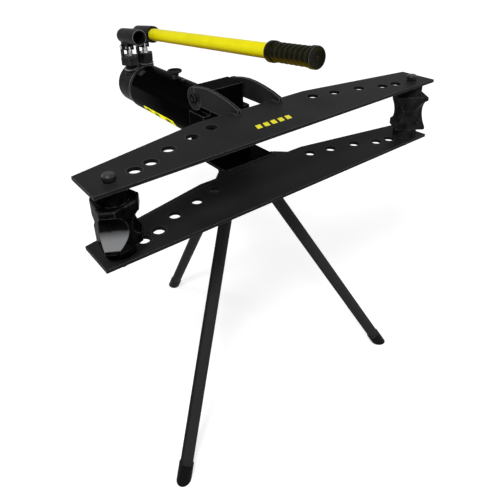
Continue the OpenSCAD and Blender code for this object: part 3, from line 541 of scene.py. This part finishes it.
# Painted sheen: the whole right shoe is painted lighter than the left, more so in patches.
right_shoe_sheen = 1 - (off_x * off_x + off_y * off_y).root().step(*SHOE_REACH)
tone = finish.blend(lumps.step(*TIGHT_CLOUDS) | right_shoe_sheen, SHOE_BLACK, SHOE_LIGHT)
tone = finish.blend(right_shoe_sheen * lumps.step(*SHOE_SHEEN_SPAN), tone, SHOE_SHEEN)
high = high - GROOVE_AXIS.z
outward = (across - GROOVE_AXIS.x) * GROOVE_FACES.x + (along - GROOVE_AXIS.y) * GROOVE_FACES.y
off = (outward * outward + high * high).root() - GROOVE_R
on_groove = 1 - abs(off).step(*GROOVE_SOFT)
# Painted highlight: the lower half of the left shoe's front groove is painted bright, fading towards the groove's
# axis.
wear_and_highlight = on_groove * (1 - (high + HIGHLIGHT_WAVE * lumps).step(*HIGHLIGHT_TOP))
groove_highlight_tone = finish.blend(high.step(*HIGHLIGHT_FADE_SPAN), GROOVE_HIGHLIGHT, GROOVE_HIGHLIGHT_FADED)
cast_black = finish.principled({
    "Base Color": finish.blend(wear_and_highlight, finish.blend(worn, tone, SHOE_RIM), groove_highlight_tone),
    "Roughness": 0.16 + 0.14 * lumps + 0.10 * wear_and_highlight,
    "Normal": finish.bump(cast + lumps, strength=0.12, distance=0.0006),
    "Specular IOR Level": 0.001,
})
for word in ("left", "right"):
    dressed("pivot_shoe_" + word, SHOE_EDGE, cast_black, CAST_STEPS)


# Roller pins: turned and oiled steel pins with a bevelled head, pushed down through both wings
# and the shoe between them. The head is drawn in above the seat and again at its bevel.
ROLLER_EDGE = 0.0007
HEAD_SEAT = 124.9
HEAD_TAPERS = ((0.0, 0.93), (0.005, 0.88))
HEAD_RISE = 0.002

for side, word in ((-1, "left"), (1, "right")):
    pin = dressed("roller_pin_" + word, ROLLER_EDGE, pin_steel)
    seat = spot(side * PIN_X, 0, HEAD_SEAT)
    for above, narrowed in HEAD_TAPERS:
        for vertex in pin.data.vertices:
            vertex.select = vertex.co.z > seat.z + above
        bpy.ops.object.mode_set(mode="EDIT")
        bpy.ops.mesh.select_mode(type="VERT")
        bpy.ops.transform.resize(value=(narrowed, narrowed, 1), center_override=seat)
        if above:
            bpy.ops.transform.translate(value=(0, 0, HEAD_RISE))
        bpy.ops.object.mode_set(mode="OBJECT")


# Oil tank: a steel tube round the cylinder, painted gloss black, with a painted sheen down its left
# side and a small painted reflection near its top rear. On top are a filler neck of oiled steel, a
# pressed cap and small vent plug.
TANK_BLACK = (0.0012, 0.0012, 0.0013, 1)
TANK_RUBBED = (0.0600, 0.0610, 0.0630, 1)
TANK_SHEEN = (0.0125, 0.0127, 0.0132, 1)
TANK_REFLECTION = (0.0330, 0.0334, 0.0345, 1)
TANK_EDGE, NECK_EDGE, VENT_EDGE = 0.0010, 0.0004, 0.0005
TANK_SIDE = (-0.996, 0, -0.087)
TANK_STREAKS, TANK_RUB, TANK_CHIPS, TANK_CHIP_SPAN = 26, 0.0016, 60, (0.25, 0.55)
SHEEN_TURN, SHEEN_LENGTH = (0.880, 0.940), (0.07, 0.25)
TURNED_SMOOTH = math.radians(30)
PATCH_FRONT, PATCH_REAR, PATCH_SOFT = 0.222, 0.240, 0.006
PATCH_FOOT, PATCH_TOP, PATCH_TURN = (0.6765, 0.6780), (0.6848, 0.6858), (0.20, 0.25)

finish = Finish("tank_paint")
along, high = finish.axes()[1:]
facing = finish.facing(TANK_SIDE)
streaks = finish.noise(TANK_STREAKS)
# Painted sheen: a lighter streaky band on the faces turned to the left; painted reflection: a small grey patch near
# the top rear.
painted_sheen = facing.step(*SHEEN_TURN) * along.step(*SHEEN_LENGTH) * (0.70 + 0.55 * streaks)
painted_reflection = (along.band(PATCH_FRONT, PATCH_REAR, PATCH_SOFT) * high.step(*PATCH_FOOT) * (1 - high.step(*PATCH_TOP))
         * facing.step(*PATCH_TURN))
worn = finish.edges(TANK_RUB) * finish.noise(TANK_CHIPS).step(*TANK_CHIP_SPAN)
tone = finish.blend(painted_sheen, TANK_BLACK, TANK_SHEEN)
tank_black = finish.principled({
    "Base Color": finish.blend(painted_reflection, finish.blend(worn, tone, TANK_RUBBED), TANK_REFLECTION),
    "Roughness": 0.18 + 0.12 * streaks,
    "Specular IOR Level": 0.001,
})
dressed("oil_tank", TANK_EDGE, tank_black)
dressed("filler_neck", NECK_EDGE, pin_steel)


def turned(name, rings, sides, hollow=False):
    """A round piece: a circle extruded ring by ring along +Z, each ring scaled to its radius. Its ends
    are closed, or it is a hollow ring whose last ring falls on the first."""
    rings = [(z / 1000, r / 1000) for z, r in rings]
    z, r = rings[0]
    bpy.ops.object.select_all(action="DESELECT")
    bpy.ops.mesh.primitive_circle_add(vertices=sides, radius=r, fill_type="NOTHING" if hollow else "NGON",
                                      location=(0, 0, z))
    piece = bpy.context.object
    piece.name = name
    bpy.ops.object.transform_apply(location=True, rotation=True, scale=True)
    bpy.ops.object.mode_set(mode="EDIT")
    bpy.ops.mesh.select_mode(type="VERT")
    bpy.ops.mesh.select_all(action="SELECT")
    for next_z, next_r in rings[1:]:
        bpy.ops.mesh.extrude_region_move(TRANSFORM_OT_translate={"value": (0, 0, next_z - z)})
        bpy.ops.transform.resize(value=(next_r / r, next_r / r, 1), center_override=(0, 0, next_z))
        z, r = next_z, next_r
    bpy.ops.mesh.select_all(action="SELECT")
    if hollow:
        bpy.ops.mesh.remove_doubles(threshold=MERGE_GAP)
    bpy.ops.mesh.normals_make_consistent(inside=False)
    bpy.ops.object.mode_set(mode="OBJECT")
    return piece


def set_in(piece, matrix, material, body, smooth=TURNED_SMOOTH):
    """Puts a turned piece in its place on its body, in its finish."""
    piece.matrix_world = matrix
    bpy.ops.object.transform_apply(location=True, rotation=True, scale=True)
    bpy.ops.object.shade_smooth_by_angle(angle=smooth)
    piece.data.materials.append(material)
    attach(piece, body)


CAP_PLACE = (0, 390, 123.5)
CAP_SIDES = 48
CAP_RINGS = [(9.6, 12.0), (10.2, 14.6), (9.8, 16.2), (8.8, 17.0), (6.2, 17.0), (5.2, 16.4), (4.6, 11.0), (3.8, 9.4),
             (0.8, 9.4), (0.2, 8.8), (0.2, 5.2), (-4.0, 5.2)]
cap = turned("filler_cap_piece", CAP_RINGS, CAP_SIDES)
cap_body = frame["nodes"]["filler_cap"]["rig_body"]
set_in(cap, Matrix.Translation(spot(*CAP_PLACE)), gloss_black, cap_body)
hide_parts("filler_cap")
dressed("vent_plug", VENT_EDGE, dark_steel)


# Tank label: a yellow foil label glued round the left side of the tank, printed with a row of
# plain dark blocks along its upper band and a plain dark panel below.
LABEL_REAR, LABEL_FRONT = 467, 329
LABEL_TOP_TURN, LABEL_SPAN, LABEL_STEPS = math.radians(202), math.radians(64), 20
LABEL_R, LABEL_FOIL = 55.12, 0.0001
TANK_Z = 59.5
LABEL_BLOCKS = ((0.0660, 0.0700), (0.0745, 0.0975), (0.1265, 0.1486), (0.1615, 0.1670), (0.1710, 0.1905))
BLOCK_FOOT, BLOCK_TOP = 0.6000, 0.6090
PANEL_FRONT, PANEL_REAR, PANEL_TOP = 0.0625, 0.1930, 0.5965
PRINT_SOFT = 0.0004
FOIL_CREASES = 120
LABEL_YELLOW = (0.95, 0.90, 0.002, 1)
LABEL_DARK = (0.012, 0.012, 0.012, 1)

finish = Finish("label_foil")
along, high = finish.axes()[1:]
blocks = high.band(BLOCK_FOOT, BLOCK_TOP, PRINT_SOFT) * sum(
    along.band(front, rear, PRINT_SOFT) for front, rear in LABEL_BLOCKS)
panel = (1 - high.step(PANEL_TOP, PANEL_TOP + PRINT_SOFT)) * along.band(PANEL_FRONT, PANEL_REAR, PRINT_SOFT)
printed = finish.blend(blocks | panel, LABEL_YELLOW, LABEL_DARK)
label_foil = finish.principled({
    "Base Color": printed,
    # Painted light: the label glows faintly in its printed colours, so it stays bright where the lamps reach it
    # little.
    "Emission Color": printed,
    "Emission Strength": 0.45,
    "Roughness": 0.30 + 0.12 * finish.noise(FOIL_CREASES, detail=2),
    "Specular IOR Level": 0.003,
})
bpy.ops.object.select_all(action="DESELECT")
bpy.ops.mesh.primitive_plane_add(size=1, location=(0, 0, 0))
label = bpy.context.object
label.name = "tank_label"
for vertex, y in zip(label.data.vertices, (LABEL_REAR, LABEL_FRONT, LABEL_REAR, LABEL_FRONT)):
    vertex.co = spot(LABEL_R * math.cos(LABEL_TOP_TURN), y, TANK_Z + LABEL_R * math.sin(LABEL_TOP_TURN))
bpy.ops.object.mode_set(mode="EDIT")
bpy.ops.mesh.select_all(action="SELECT")
bpy.ops.mesh.remove_doubles(threshold=MERGE_GAP)
bpy.ops.mesh.spin(steps=LABEL_STEPS, angle=LABEL_SPAN, center=spot(0, 0, TANK_Z), axis=(0, 1, 0))
bpy.ops.mesh.select_all(action="SELECT")
bpy.ops.mesh.remove_doubles(threshold=MERGE_GAP)
bpy.ops.mesh.normals_make_consistent(inside=False)
bpy.ops.object.mode_set(mode="OBJECT")
foil = label.modifiers.new("foil", "SOLIDIFY")
foil.thickness = LABEL_FOIL
foil.offset = 0
bpy.ops.object.modifier_apply(modifier=foil.name)
bpy.ops.object.shade_smooth_by_angle(angle=TURNED_SMOOTH)
label.data.materials.append(label_foil)
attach(label, "frame")


# Pump head: an iron casting bolted on the rear of the tank with four long screws, with a flange
# round its front, the two pump seats on top and the release valve on its right.
HEAD_TONES = ((0.0050, 0.0051, 0.0054, 1), (0.0105, 0.0107, 0.0112, 1), EDGE_GREY)
RIM_DARK, RIM_BRIGHT = (0.060, 0.061, 0.064, 1), (0.210, 0.212, 0.216, 1)
RIM_CLOUDS, RIM_SPAN = 70, (0.30, 0.65)
HEAD_EDGE = 0.0012
HEAD_FITTINGS = (("tie_rods", 0.0005), ("relief_plug", 0.0005), ("release_valve", 0.0012))
RIM_Y, RIM_SIDES = 530.2, 96
RIM_RINGS = [(0, 53.5), (0, 54.9), (0.4, 55.2), (1.0, 55.2), (1.4, 54.9), (1.4, 53.5), (0, 53.5)]
NEAR_X, FAR_X, PUMP_Y = -27.5, 15.5, 560
COLLAR_BORE, COLLAR_H, COLLAR_SOFT, COLLAR_SIDES = 12.6, 2.8, 0.6, 48
COLLARS = (("near_collar", NEAR_X, 104.2, 16.2), ("far_collar", FAR_X, 112.5, 19.8))

head_black = worn_paint("head_paint", HEAD_TONES, clouds=40, cloud_span=TIGHT_CLOUDS,
                        edge=0.0020, chips=90, chip_span=(0.25, 0.60), skin=300, skin_detail=3,
                        relief=0.12, rough=0.30, gain=0.15, level=0.02)
dressed("pump_head", HEAD_EDGE, head_black)

# Painted highlight: thin pale rings on the rear edge of the flange and at the two pump seats stand for the bright
# lines the light draws there.
finish = Finish("rim_highlight")
cloudy = finish.noise(RIM_CLOUDS)
rim_highlight = finish.principled({
    "Base Color": finish.blend(cloudy.step(*RIM_SPAN), RIM_DARK, RIM_BRIGHT),
    "Roughness": 0.30 + 0.15 * cloudy,
})
rim_place = Matrix.Translation(spot(0, RIM_Y, TANK_Z)) @ Matrix.Rotation(math.radians(90), 4, "X")
set_in(turned("flange_highlight_ring", RIM_RINGS, RIM_SIDES, hollow=True), rim_place, rim_highlight, "frame")
for name, x, foot, r in COLLARS:
    top = foot + COLLAR_H
    rings = [(foot, COLLAR_BORE), (foot, r - COLLAR_SOFT), (foot + COLLAR_SOFT, r), (top - COLLAR_SOFT, r),
             (top, r - COLLAR_SOFT), (top, COLLAR_BORE), (foot, COLLAR_BORE)]
    collar = turned(name, rings, COLLAR_SIDES, hollow=True)
    set_in(collar, Matrix.Translation(spot(x, PUMP_Y, 0)), rim_highlight, "frame")
for node, edge in HEAD_FITTINGS:
    dressed(node, edge, dark_steel)


# Pumps: two hexagonal steel pump bodies of different bore screwed into the head, each with its
# chromed plunger, two links, and the forked socket that takes the handle.
LEVER_TONES = ((0.0062, 0.0063, 0.0067, 1), (0.0125, 0.0128, 0.0134, 1), (0.10, 0.102, 0.108, 1))
PHOSPHATE_TONES = ((0.0150, 0.0152, 0.0160, 1), (0.0300, 0.0305, 0.0320, 1), (0.16, 0.163, 0.17, 1))
NUT_RINGS = [(118.6, 0.84), (118.6, 0.96), (119.8, 1.0), (136.6, 1.0), (138.8, 0.93), (138.8, 0.84), (118.6, 0.84)]
NUTS = (("near_pump_nut", NEAR_X, 23.8), ("far_pump_nut", FAR_X, 21.6))
NUT_SIDES, NUT_TURN, NUT_CUT_Y, NUT_EDGE = 6, math.radians(30), 567.8, 0.0007
FULCRUM_Y, FULCRUM_Z = 575, 160
HANDLE_RISE = math.radians(5.2)
SOCKET_UP = 0.0266
MOUTH_REACH, MOUTH_SIDES = 83, 64
MOUTH_SHADE = [(0.0, 13.8), (0.0, 17.0), (0.12, 17.0), (0.12, 13.8), (0.0, 13.8)]
MOUTH_RIM = [(-0.4, 17.0), (-0.4, 18.0), (0.0, 18.3), (0.3, 18.0), (0.3, 17.0), (-0.4, 17.0)]
PIN_EDGE = 0.0004
PUMP_PIECES = (("_pump_body", 0.0009), ("_links", 0.0005), ("_lever", 0.0010))

lever_black = worn_paint("lever_paint", LEVER_TONES, clouds=45, cloud_span=TIGHT_CLOUDS,
                         edge=0.0014, chips=110, chip_span=(0.25, 0.60), skin=300, skin_detail=3,
                         relief=0.14, rough=0.30, gain=0.18, level=0.02)
for side in ("near", "far"):
    for ending, edge in PUMP_PIECES:
        dressed(side + ending, edge, lever_black)
    dressed(side + "_plunger", PIN_EDGE, chrome)
phosphate = worn_paint("phosphated_steel", PHOSPHATE_TONES, clouds=60, cloud_span=TIGHT_CLOUDS,
                       edge=0.0022, chips=110, chip_span=(0.15, 0.45), skin=300, skin_detail=3,
                       relief=0.12, rough=0.35, gain=0.18, level=0.05)
for name, x, nut_r in NUTS:
    nut = turned(name, [(z, r * nut_r) for z, r in NUT_RINGS], NUT_SIDES, hollow=True)
    nut_place = Matrix.Translation(spot(x, PUMP_Y, 0)) @ Matrix.Rotation(NUT_TURN, 4, "Z")
    set_in(nut, nut_place, phosphate, "frame")
    bpy.ops.object.mode_set(mode="EDIT")
    bpy.ops.mesh.select_all(action="SELECT")
    bpy.ops.mesh.bisect(plane_co=spot(x, NUT_CUT_Y, 0), plane_no=(0, 1, 0), use_fill=True, clear_outer=True)
    bpy.ops.mesh.select_all(action="SELECT")
    bpy.ops.mesh.normals_make_consistent(inside=False)
    bpy.ops.object.mode_set(mode="OBJECT")
    corners = nut.modifiers.new("corners", "BEVEL")
    corners.width = NUT_EDGE
    corners.segments = 2
    bpy.ops.object.modifier_apply(modifier=corners.name)


def socket_axis(x, along):
    """The place on the axis of a lever's socket, so far from the fulcrum pin, with +Z out of its mouth."""
    return (Matrix.Translation(spot(x, FULCRUM_Y, FULCRUM_Z)) @ Matrix.Rotation(-HANDLE_RISE, 4, "X")
            @ Matrix.Translation((0, 0, SOCKET_UP)) @ Matrix.Rotation(math.radians(90), 4, "X")
            @ Matrix.Translation((0, 0, along / 1000)))


# Painted shade and highlight: a thin black ring inside the mouth of the near socket stands for the shade in its bore,
# and a pale ring on its lip for a highlight.
near_body = frame["nodes"]["near_lever"]["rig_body"]
for name, rings, material, slot in (("near_mouth_shade", MOUTH_SHADE, gloss_black, "gloss_paint"),
                                    ("near_mouth_highlight_ring", MOUTH_RIM, rim_highlight, "steel")):
    mouth = turned(name, rings, MOUTH_SIDES, hollow=True)
    set_in(mouth, socket_axis(NEAR_X, MOUTH_REACH), material, near_body)
for node in ("near_plunger_pin", "far_plunger_pin", "link_pins", "fulcrum_pins"):
    dressed(node, PIN_EDGE, plain_steel)


# Handle: a steel tube in gloss yellow paint, scuffed where it goes into the socket, pushed into
# the far pump's lever.
TUBE_R, SHANK_R, BORE_R = 14.3, 13.45, 10.85
TUBE_RINGS = [(8, BORE_R), (8, 13.0), (8.6, SHANK_R), (73.4, SHANK_R), (74.2, TUBE_R), (600, TUBE_R),
              (600, BORE_R), (8, BORE_R)]
TUBE_SIDES = 64
HANDLE_LIGHT = (0.78, 0.70, 0.002, 1)
HANDLE_SHADE = (0.66, 0.44, 0.001, 1)
HANDLE_SCUFF = (0.20, 0.18, 0.05, 1)
HANDLE_PATCHES, HANDLE_PEEL, SCUFF_GRAIN = 26, 500, 180
PATCHY_SPAN, SCUFF_SPAN, SHADE_SPAN = (0.3, 0.8), (0.50, 0.62), (0.05, 0.85)
SCUFF_START, SCUFF_FULL = 0.205, 0.235
DOWN = (0, 0, -1)

finish = Finish("yellow_handle_paint")
patchy = finish.noise(HANDLE_PATCHES)
peel = finish.noise(HANDLE_PEEL, detail=1)
along = finish.axes()[1]
scuffed = along.step(SCUFF_START, SCUFF_FULL) * finish.noise(SCUFF_GRAIN, detail=4).step(*SCUFF_SPAN)
tone = finish.blend(patchy.step(*PATCHY_SPAN), YELLOW, HANDLE_LIGHT)
# Painted shade: the underside of the tube is painted darker and more orange.
tone = finish.blend(finish.facing(DOWN).step(*SHADE_SPAN), tone, HANDLE_SHADE)
yellow_paint = finish.principled({
    "Base Color": finish.blend(scuffed, tone, HANDLE_SCUFF),
    "Roughness": 0.28 + 0.10 * patchy,
    "Normal": finish.bump(peel, strength=0.05, distance=0.0003),
    "Specular IOR Level": 0.03,
})
tube = turned("handle_tube_piece", TUBE_RINGS, TUBE_SIDES, hollow=True)
set_in(tube, socket_axis(FAR_X, 0), yellow_paint, "handle")
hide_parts("handle_tube")


# Grip: a black rubber sleeve moulded with seven rounded ribs between two collars, closed at the
# front end but for a small air hole, and pushed over the end of the tube.
GRIP_SIDES = 64
GRIP_START = 512
GRIP_SMOOTH = math.radians(50)
COLLAR_R, CREST_R, VALLEY_R, HOLE_R = 19.6, 17.9, 15.6, 2.0
RIB_START, RIB_PITCH, RIBS = 14.2, 12.5, 7
REAR_COLLAR = [(0, 17.6), (0, 18.8), (0.8, COLLAR_R), (10.6, COLLAR_R), (11.8, 18.6), (12.4, VALLEY_R)]
FRONT_COLLAR = [(1.0, VALLEY_R), (1.6, 18.6), (2.8, COLLAR_R), (10.4, COLLAR_R), (12.0, 19.0),
                (12.7, 17.8), (12.7, 16.4), (12.1, 15.6), (12.1, HOLE_R), (8.0, HOLE_R)]
RIB = [(0, VALLEY_R), (0.8, 16.9), (2.0, 17.5), (3.6, CREST_R), (6.4, CREST_R), (8.0, 17.5), (9.2, 16.9),
       (10.0, VALLEY_R)]
LIP_BORE, LIP_H, LIP_SOFT = 18.6, 0.5, 0.1
LIPS = (("grip_rear_highlight_ring", -0.1, 19.25), ("grip_front_highlight_ring", 112.9, 19.5))
LIP_DARK, LIP_BRIGHT = (0.030, 0.034, 0.045, 1), (0.150, 0.175, 0.235, 1)
GRIP_TONES = ((0.0042, 0.0037, 0.0008, 1), (0.058, 0.054, 0.020, 1), (0.210, 0.140, 0.001, 1))
RUBBER_EDGE = 0.0030
RUBBER_SKIN, RUBBER_DUST = 700, 45
DUST_SPAN, UNDERSIDE_SPAN = (0.20, 0.60), (0.05, 0.95)
LIP_CLOUDS, LIP_SPAN, LIP_GRAIN = 70, (0.35, 0.6), 300


def rubber_finish(name, tones, level):
    """Moulded rubber: dull in the hollows, lighter on the edges from wear and a painted highlight, and
    painted on its underside in the third tone: reflected amber light on the grip, shade on the feet.
    """
    made = Finish(name)
    dull, wear_and_highlight, painted_underside = tones
    skin = made.noise(RUBBER_SKIN)
    dusty = made.noise(RUBBER_DUST)
    tone = made.blend(made.edges(RUBBER_EDGE) * dusty.step(*DUST_SPAN), dull, wear_and_highlight)
    return made.principled({
        "Base Color": made.blend(made.facing(DOWN).step(*UNDERSIDE_SPAN), tone, painted_underside),
        "Roughness": 0.30 + 0.14 * dusty + 0.05 * skin,
        "Normal": made.bump(skin, strength=0.10, distance=0.0003),
        "Specular IOR Level": level,
    })


grip_rubber = rubber_finish("grip_rubber", GRIP_TONES, level=0.03)
finish = Finish("lip_sheen")
lip_sheen = finish.principled({
    "Base Color": finish.blend(finish.noise(LIP_CLOUDS).step(*LIP_SPAN), LIP_DARK, LIP_BRIGHT),
    "Roughness": 0.30 + 0.15 * finish.noise(LIP_GRAIN, detail=2),
    "Specular IOR Level": 0.03,
})
rings = REAR_COLLAR + [(RIB_START + RIB_PITCH * i + z, r) for i in range(RIBS) for z, r in RIB]
rings += [(RIB_START + RIB_PITCH * RIBS + z, r) for z, r in FRONT_COLLAR]
grip = turned("handle_grip_piece", rings, GRIP_SIDES)
set_in(grip, socket_axis(FAR_X, GRIP_START), grip_rubber, "handle", GRIP_SMOOTH)
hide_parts("handle_grip")
# Painted highlight: two thin bluish grey rings at the rims of the collars stand for the light caught on their edges.
for name, along, lip_r in LIPS:
    rings = [(0, LIP_BORE), (0, lip_r - LIP_SOFT), (LIP_H / 2, lip_r), (LIP_H, lip_r - LIP_SOFT),
             (LIP_H, LIP_BORE), (0, LIP_BORE)]
    lip = turned(name, rings, GRIP_SIDES, hollow=True)
    set_in(lip, socket_axis(FAR_X, GRIP_START + along), lip_sheen, "handle", GRIP_SMOOTH)


# Tripod: three steel tubes screwed into sockets that are welded to a round plate under the tongue,
# painted satin black with a painted highlight down their fronts, each with a black rubber foot.
LEG_PAINT = (0.0068, 0.0069, 0.0072, 1)
LEG_LIGHT = (0.0105, 0.0107, 0.0111, 1)
LEG_HIGHLIGHT = (0.0290, 0.0293, 0.0302, 1)
LEG_FRONT = (-0.42, -0.86, 0.28)
LEG_CLOUDS, HIGHLIGHT_TURN = 30, (0.40, 0.86)
HUB_EDGE, LEG_EDGE, FOOT_EDGE = 0.0009, 0.0005, 0.0015
FOOT_TONES = ((0.0075, 0.0075, 0.0078, 1), (0.085, 0.085, 0.088, 1), (0.0030, 0.0030, 0.0031, 1))

dressed("tripod_hub", HUB_EDGE, satin_black)
foot_rubber = rubber_finish("foot_rubber", FOOT_TONES, level=0.02)
finish = Finish("leg_paint")
cloudy = finish.noise(LEG_CLOUDS)
grain = finish.noise(PLATE_GRAIN, detail=2)
# Painted highlight: the faces of the legs turned to the front are painted lighter.
leg_highlight = finish.facing(LEG_FRONT).step(*HIGHLIGHT_TURN)
tone = finish.blend(cloudy.step(*CLOUD_SPAN), LEG_PAINT, LEG_LIGHT)
leg_black = finish.principled({
    "Base Color": finish.blend(leg_highlight, tone, LEG_HIGHLIGHT),
    "Roughness": 0.34 + 0.12 * cloudy,
    "Normal": finish.bump(grain, strength=0.10, distance=0.0003),
    "Specular IOR Level": 0.015,
})
for word in ("left", "right", "rear"):
    dressed("leg_" + word, LEG_EDGE, leg_black)
    dressed("foot_" + word, FOOT_EDGE, foot_rubber, CAST_STEPS)


# Inner parts: seals, piston, cylinder tube, springs, balls and plugs, fitted inside the block,
# tank and head. They are out of sight at rest, so the CAD nodes stay and only take a finish.
SEAL_BROWN, SEAL_LIGHT = (0.030, 0.022, 0.016, 1), (0.060, 0.045, 0.032, 1)
SEAL_SKIN, SEAL_SPAN = 600, (0.3, 0.7)

finish = Finish("seal_rubber")
skin = finish.noise(SEAL_SKIN, detail=2)
seal_rubber = finish.principled({
    "Base Color": finish.blend(skin.step(*SEAL_SPAN), SEAL_BROWN, SEAL_LIGHT),
    "Roughness": 0.5 + 0.15 * skin,
})
INNER = {
    seal_rubber: ("ram_seal", "wiper_ring", "piston_ring", "plunger_seals", "head_gasket"),
    plain_steel: ("ram_piston", "cylinder_tube", "return_spring", "spring_anchor", "valve_springs"),
    dark_steel: ("valve_plugs",),
    chrome: ("check_balls",),
}
for material, nodes in INNER.items():
    for node in nodes:
        mesh = frame["nodes"][node].data
        mesh.materials.clear()
        mesh.materials.append(material)
